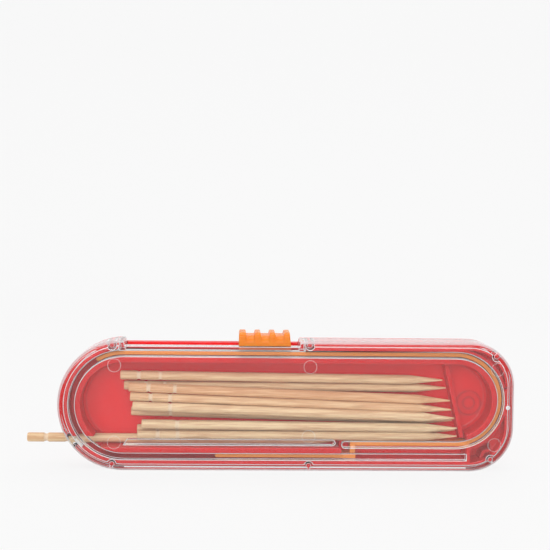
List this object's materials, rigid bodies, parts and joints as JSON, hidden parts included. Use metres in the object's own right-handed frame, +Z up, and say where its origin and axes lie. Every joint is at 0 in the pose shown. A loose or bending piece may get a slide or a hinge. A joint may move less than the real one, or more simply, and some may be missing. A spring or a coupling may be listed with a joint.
{
  "type": "toothpick dispenser",
  "caption": "Flat pocket toothpick dispenser: red tray, clear cover and a ribbed thumb slide whose flexible band pushes a toothpick out of the rounded end.",
  "frame": {"origin": "middle of the straight long edge that the case stands on, halfway through its thickness", "axes": "+X along the case from its rounded end to its square end, +Y from the clear cover to the red panel, +Z up from the standing edge to the edge with the thumb slide"},
  "size_m": [0.0976, 0.008, 0.0277],
  "materials": {
    "red_plastic": "fine spark-eroded grain outside, satin inside",
    "clear_plastic": "polished and transparent",
    "orange_plastic": "semi-gloss",
    "bamboo": "dry, along the grain"
  },
  "bodies": {
    "case": {"red_tray": "red_plastic", "clear_cover": "clear_plastic", "feed_band": "orange_plastic", "toothpick_1": "bamboo", "toothpick_2": "bamboo", "toothpick_3": "bamboo", "toothpick_4": "bamboo", "toothpick_5": "bamboo", "toothpick_6": "bamboo", "toothpick_7": "bamboo", "toothpick_8": "bamboo", "toothpick_9": "bamboo"},
    "slider": {"thumb_slider": "orange_plastic"},
    "pusher": {"pusher": "orange_plastic"},
    "tail": {"band_tail": "orange_plastic"},
    "pick": {"dispensed_toothpick": "bamboo"}
  },
  "joints": [
    {"name": "thumb_slide", "type": "slide", "parent": "case", "child": "slider", "axis": [1, 0, 0], "range_m": [-0.022, 0.0016], "deforming": ["feed_band"]},
    {"name": "pusher_slide", "type": "slide", "parent": "case", "child": "pusher", "axis": [-1, 0, 0], "range_m": [-0.022, 0.0016]},
    {"name": "tail_turn", "type": "hinge", "parent": "case", "child": "tail", "pos_m": [-0.0325, 0, 0.013], "axis": [0, 1, 0], "range_deg": [-122.5, 9]},
    {"name": "pick_slide", "type": "slide", "parent": "pusher", "child": "pick", "axis": [-1, 0, 0], "range_m": [0, 0.0075]}
  ],
  "couplings": [
    {"joint": "pusher_slide", "follows": "thumb_slide", "ratio": 1},
    {"joint": "tail_turn", "follows": "thumb_slide", "rad_per_m": 97.087}
  ]
}
